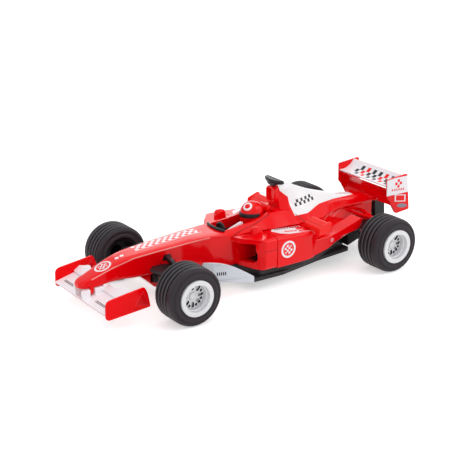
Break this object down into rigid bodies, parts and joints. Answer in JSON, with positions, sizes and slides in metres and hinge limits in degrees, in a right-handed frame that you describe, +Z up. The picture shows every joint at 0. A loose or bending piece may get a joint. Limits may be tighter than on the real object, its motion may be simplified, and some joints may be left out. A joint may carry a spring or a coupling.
{
  "type": "toy open wheel racing car",
  "caption": "Toy open wheel racing car with winged nose, sidepods and rear wing, whose front and rear wheels roll freely on their axles.",
  "frame": {"origin": "on the floor, under the middle of the car's overall box", "axes": "+X towards the nose, +Y to the driver's left, +Z up"},
  "size_m": [0.1566, 0.0716, 0.0402],
  "materials": {
    "red_body": "glossy moulded red",
    "white_plastic": "glossy moulded white",
    "black_plastic": "satin moulded black",
    "tyre_rubber": "soft matt black",
    "rim_silver": "silver paint, satin",
    "axle_steel": "bright drawn"
  },
  "bodies": {
    "chassis": {"air_intake": "red_body", "barge_board_left": "white_plastic", "barge_board_right": "white_plastic", "camera_pod": "black_plastic", "cockpit_floor": "white_plastic", "cockpit_trim": "black_plastic", "driver_helmet": "red_body", "floor_tray": "black_plastic", "front_arm_left": "black_plastic", "front_arm_right": "black_plastic", "front_axle_carrier": "black_plastic", "front_body": "red_body", "front_endplate_left": "red_body", "front_endplate_right": "red_body", "front_keel": "red_body", "front_pylon_left": "white_plastic", "front_pylon_right": "white_plastic", "front_wing_flap_left": "white_plastic", "front_wing_flap_right": "white_plastic", "front_wing_plane": "white_plastic", "headrest": "red_body", "helmet_visor": "black_plastic", "mirror_left": "red_body", "mirror_right": "red_body", "motor_housing": "black_plastic", "rear_body": "red_body", "rear_endplate_left": "red_body", "rear_endplate_right": "red_body", "rear_wing_lower": "red_body", "rear_wing_pillar": "black_plastic", "rear_wing_plane": "white_plastic", "rear_wishbone_left": "red_body", "rear_wishbone_right": "red_body", "steering_wheel": "black_plastic", "winglet_left": "red_body", "winglet_right": "red_body"},
    "front_wheels": {"front_axle": "axle_steel", "front_core_left": "black_plastic", "front_core_right": "black_plastic", "front_rim_left": "rim_silver", "front_rim_right": "rim_silver", "front_tyre_left": "tyre_rubber", "front_tyre_right": "tyre_rubber"},
    "rear_wheels": {"rear_axle": "axle_steel", "rear_core_left": "black_plastic", "rear_core_right": "black_plastic", "rear_rim_left": "rim_silver", "rear_rim_right": "rim_silver", "rear_tyre_left": "tyre_rubber", "rear_tyre_right": "tyre_rubber"}
  },
  "joints": [
    {"name": "front_axle_roll", "type": "hinge", "parent": "chassis", "child": "front_wheels", "pos_m": [0.0455, 0, 0.0117], "axis": [0, 1, 0], "continuous": true},
    {"name": "rear_axle_roll", "type": "hinge", "parent": "chassis", "child": "rear_wheels", "pos_m": [-0.0545, 0, 0.0117], "axis": [0, 1, 0], "continuous": true}
  ]
}
